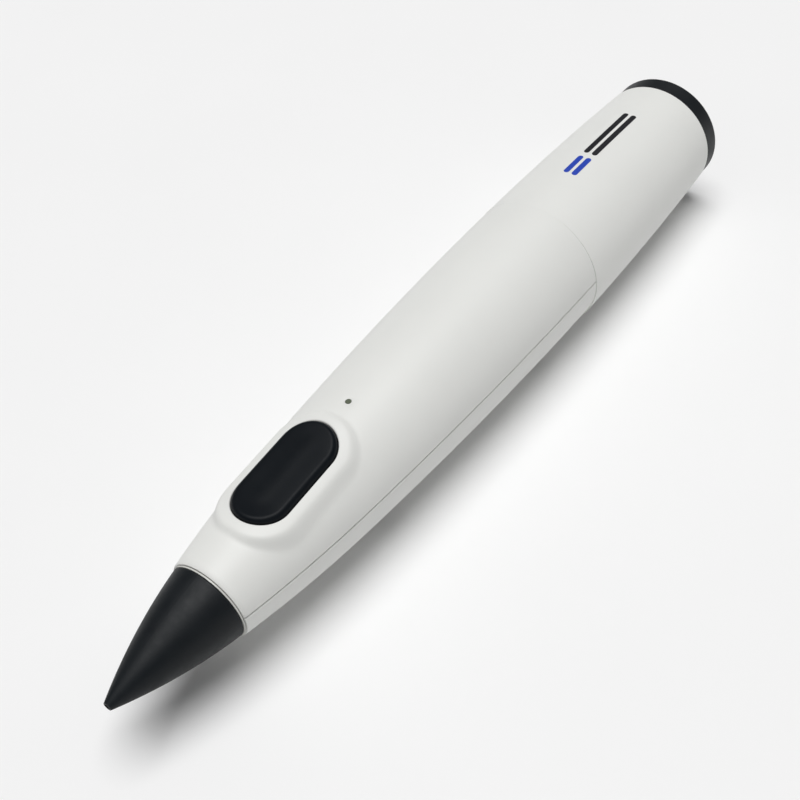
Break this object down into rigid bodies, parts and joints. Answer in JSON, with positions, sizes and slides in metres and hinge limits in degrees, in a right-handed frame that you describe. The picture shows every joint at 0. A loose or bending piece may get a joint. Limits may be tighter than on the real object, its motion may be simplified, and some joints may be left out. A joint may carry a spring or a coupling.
{
  "type": "3d drawing pen",
  "caption": "Cordless 3D drawing pen: tapered pale body, black nozzle cone and end cap, long dished feed button in a raised surround, geared filament drive and battery inside.",
  "frame": {"origin": "under the middle of the pen, at the lowest line of the barrel, centred on the bounding box", "axes": "+X along the pen from the nozzle to the rear cap, +Z out of the feed button, +Y across"},
  "size_m": [0.18, 0.0292, 0.0293],
  "materials": {
    "barrel_white": "fine satin moulded ABS, warm light grey",
    "bearing_steel": "ground bearing ring",
    "board_green": "solder-masked fibreglass board",
    "button_black": "satin plastic, near black",
    "cap_black": "satin plastic, near black",
    "cell_wrap": "shrink-wrapped lithium cell",
    "chip_black": "moulded chip package",
    "chip_white": "lamp package",
    "core_aluminium": "turned aluminium",
    "cover_black": "satin heat-resistant plastic, near black",
    "feed_brass": "turned brass",
    "frame_nylon": "moulded nylon",
    "gear_brass": "cut brass",
    "gearbox_brass": "stamped brass",
    "guide_ptfe": "translucent white PTFE tube",
    "heater_film": "polyimide heater film",
    "insulation": "woven glass sleeve",
    "lamp_lens": "translucent light guide",
    "lead_black": "silicone insulation",
    "lead_red": "silicone insulation",
    "lead_white": "glass-braided insulation",
    "lever_nylon": "moulded nylon",
    "magnet": "sintered ferrite",
    "motor_nylon": "moulded nylon",
    "motor_steel": "nickel-plated steel can",
    "mount_resin": "glass-filled heat-resistant resin",
    "nozzle_brass": "turned brass",
    "pad_foam": "closed-cell foam",
    "plunger_white": "moulded plunger",
    "ring_pale": "satin moulded ABS",
    "rotor_steel": "laminated steel wound with enamelled wire, one solid",
    "screw_steel": "zinc-plated steel",
    "sensor_glass": "glass-coated bead",
    "shaft_steel": "ground steel",
    "shell_white": "fine satin moulded ABS, warm light grey",
    "socket_steel": "stamped stainless shell",
    "spring_steel": "spring wire",
    "switch_black": "moulded switch case",
    "tab_nickel": "nickel strip",
    "thin_steel": "thin-walled stainless tube"
  },
  "bodies": {
    "pen_body": {"battery_cell": "cell_wrap", "battery_front_lead": "lead_red", "battery_front_pad": "pad_foam", "battery_front_tab": "tab_nickel", "battery_rear_lead": "lead_black", "battery_rear_pad": "pad_foam", "battery_rear_tab": "tab_nickel", "brass_nozzle": "nozzle_brass", "charge_board": "board_green", "charge_socket": "socket_steel", "collar_ring": "ring_pale", "control_board": "board_green", "drive_frame": "frame_nylon", "driver_chip": "chip_black", "end_cap": "cap_black", "first_arbor": "shaft_steel", "front_guide_tube": "guide_ptfe", "gearbox_front_plate": "gearbox_brass", "gearbox_posts": "gearbox_brass", "gearbox_rear_plate": "gearbox_brass", "heat_break": "thin_steel", "heater_core": "core_aluminium", "heater_left_lead": "lead_white", "heater_right_lead": "lead_white", "heater_wrap": "heater_film", "hot_end_mount": "mount_resin", "indicator_light": "lamp_lens", "insulation_sleeve": "insulation", "lamp_chip": "chip_white", "lever_pivot": "shaft_steel", "lever_spring": "spring_steel", "lower_shell": "shell_white", "motor_can": "motor_steel", "motor_end_cap": "motor_nylon", "motor_left_lead": "lead_red", "motor_magnet": "magnet", "motor_right_lead": "lead_black", "nozzle_cover": "cover_black", "rear_barrel": "barrel_white", "rear_guide_tube": "guide_ptfe", "second_arbor": "shaft_steel", "shell_screws": "screw_steel", "switch_body": "switch_black", "temperature_sensor": "sensor_glass", "upper_shell": "shell_white"},
    "button": {"feed_button": "button_black"},
    "plunger": {"switch_plunger": "plunger_white"},
    "rotor": {"motor_rotor": "rotor_steel", "motor_pinion": "gear_brass"},
    "first_wheel": {"first_gear": "gear_brass"},
    "second_wheel": {"second_gear": "gear_brass"},
    "drive_shaft": {"output_gear": "gear_brass", "output_shaft": "shaft_steel", "feed_screw": "feed_brass"},
    "lever": {"idler_lever": "lever_nylon", "idler_axle": "shaft_steel"},
    "idler": {"idler_roller": "bearing_steel"}
  },
  "joints": [
    {"name": "button_press", "type": "slide", "parent": "pen_body", "child": "button", "axis": [0.0986, 0, -0.9951], "range_m": [0, 0.0004], "stiffness_N_per_m": 1500, "springref_m": -0.0002},
    {"name": "plunger_press", "type": "slide", "parent": "pen_body", "child": "plunger", "axis": [0, 0, -1], "range_m": [0, 0.0004]},
    {"name": "rotor_spin", "type": "hinge", "parent": "pen_body", "child": "rotor", "pos_m": [0.007, 0, 0.0103], "axis": [1, 0, 0], "continuous": true},
    {"name": "first_gear_spin", "type": "hinge", "parent": "pen_body", "child": "first_wheel", "pos_m": [-0.002, 0, 0.01455], "axis": [1, 0, 0], "continuous": true},
    {"name": "second_gear_spin", "type": "hinge", "parent": "pen_body", "child": "second_wheel", "pos_m": [-0.0035, 0, 0.0103], "axis": [1, 0, 0], "continuous": true},
    {"name": "drive_shaft_spin", "type": "hinge", "parent": "pen_body", "child": "drive_shaft", "pos_m": [-0.01, 0, 0.01455], "axis": [1, 0, 0], "continuous": true},
    {"name": "lever_swing", "type": "hinge", "parent": "pen_body", "child": "lever", "pos_m": [-0.0035, 0, 0.0218], "axis": [0, 1, 0], "range_deg": [0, 3], "stiffness_Nm_per_rad": 0.05, "springref_deg": -17.19},
    {"name": "idler_spin", "type": "hinge", "parent": "lever", "child": "idler", "pos_m": [-0.012, 0, 0.02283], "axis": [0, 1, 0], "continuous": true}
  ],
  "couplings": [
    {"joint": "plunger_press", "follows": "button_press", "ratio": 1},
    {"joint": "first_gear_spin", "follows": "rotor_spin", "ratio": -0.36},
    {"joint": "second_gear_spin", "follows": "rotor_spin", "ratio": 0.1296},
    {"joint": "drive_shaft_spin", "follows": "rotor_spin", "ratio": -0.046656}
  ]
}
